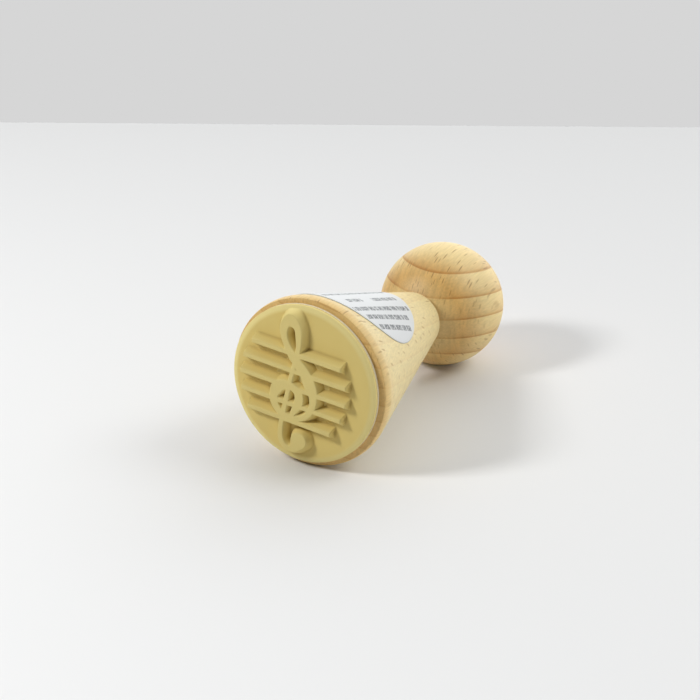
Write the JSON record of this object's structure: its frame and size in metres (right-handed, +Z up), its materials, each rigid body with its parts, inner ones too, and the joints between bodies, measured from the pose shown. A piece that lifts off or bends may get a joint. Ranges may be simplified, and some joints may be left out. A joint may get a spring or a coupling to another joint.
{
  "type": "hand stamp",
  "caption": "Round wooden hand stamp: a turned beech handle with a flared end and a ball grip, a relief rubber die on a foam cushion, and a paper label wrapped over the taper.",
  "frame": {"origin": "on the table, under the middle of the stamp as it lies on its side", "axes": "+Z up, the handle lies along Y with the printing face towards -Y and the ball towards +Y, +X to the right when looking at the ball from the die"},
  "size_m": [0.0328, 0.071, 0.0328],
  "materials": {
    "beech": "turned and fine sanded, thin clear lacquer",
    "foam": "matt closed-cell foam",
    "rubber": "matt moulded natural rubber",
    "paper": "smooth coated paper"
  },
  "bodies": {
    "root": {"handle": "beech", "foam_cushion": "foam", "rubber_die": "rubber", "label": "paper"}
  },
  "joints": []
}
